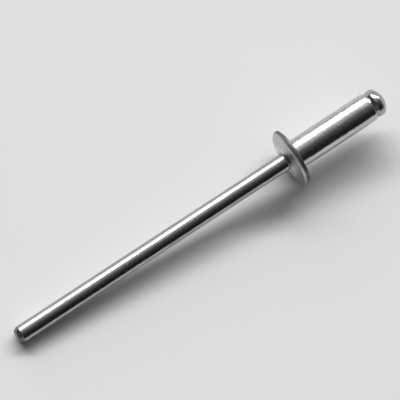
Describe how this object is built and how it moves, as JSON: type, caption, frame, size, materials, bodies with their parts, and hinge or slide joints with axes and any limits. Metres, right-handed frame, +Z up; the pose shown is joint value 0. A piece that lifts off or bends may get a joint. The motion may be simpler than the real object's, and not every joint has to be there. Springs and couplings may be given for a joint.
{
  "type": "pop rivet",
  "caption": "Open-end blind rivet with a domed flange, unset, with its breakaway mandrel through the bore. It joins thin sheets from one side.",
  "frame": {"origin": "on the surface that the rivet lies on, under the middle of its bounding box", "axes": "+Z up from the surface, +X along the lying rivet from the mandrel's tip towards the blind end, seen from above; the rivet's own axis rises towards +X by its rest tilt"},
  "size_m": [0.0346, 0.0048, 0.0048],
  "materials": {
    "body_aluminium": "bright, cold headed, lightly polished by tumbling",
    "mandrel_steel": "bright drawn wire, zinc plated, with fine draw lines along the stem"
  },
  "bodies": {
    "root": {"rivet_body": "body_aluminium", "mandrel": "mandrel_steel"}
  },
  "joints": []
}
